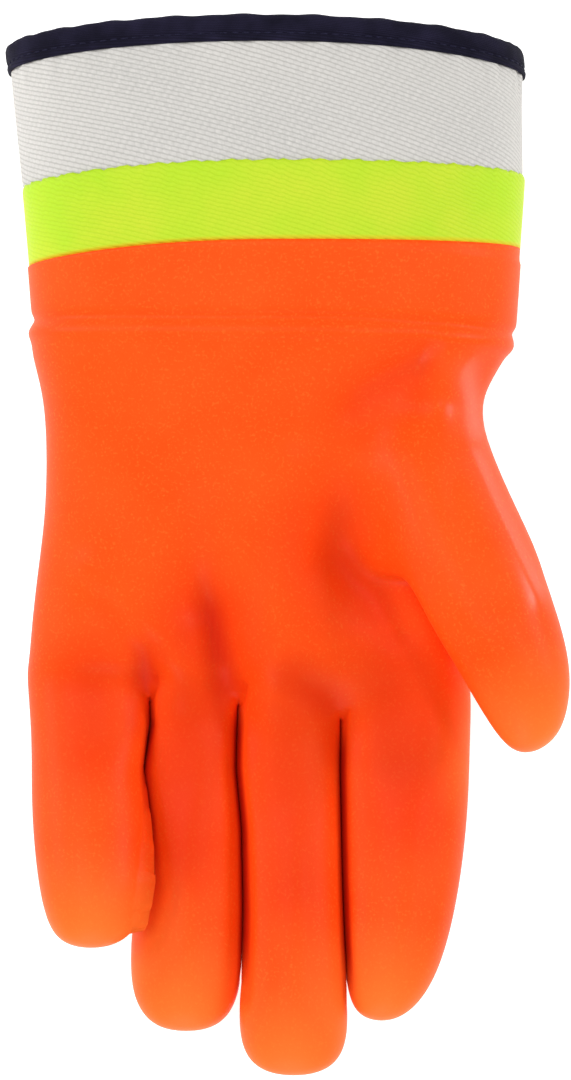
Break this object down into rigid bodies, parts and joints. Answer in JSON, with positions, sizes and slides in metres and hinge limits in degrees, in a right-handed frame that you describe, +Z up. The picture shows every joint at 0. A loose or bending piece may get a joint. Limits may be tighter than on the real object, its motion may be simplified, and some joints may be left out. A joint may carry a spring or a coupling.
{
  "type": "coated work glove",
  "caption": "Soft coated safety glove for the left hand with a flared canvas cuff, a bright stripe and a bound mouth; lies palm up and is hollow for the hand.",
  "frame": {"origin": "on the surface that the glove lies on, under the middle of its outline", "axes": "+Z up out of the palm side, +Y from the fingertips to the cuff's mouth, +X towards the thumb"},
  "size_m": [0.1562, 0.2906, 0.0666],
  "materials": {
    "orange_coat": "satin dipped coat",
    "canvas": "bare twill",
    "lime_coat": "thin satin coat on twill",
    "navy_tape": "woven tape"
  },
  "bodies": {
    "root": {"hand_shell": "orange_coat", "cuff_canvas": "canvas", "lime_band": "lime_coat", "rim_binding": "navy_tape"}
  },
  "joints": []
}
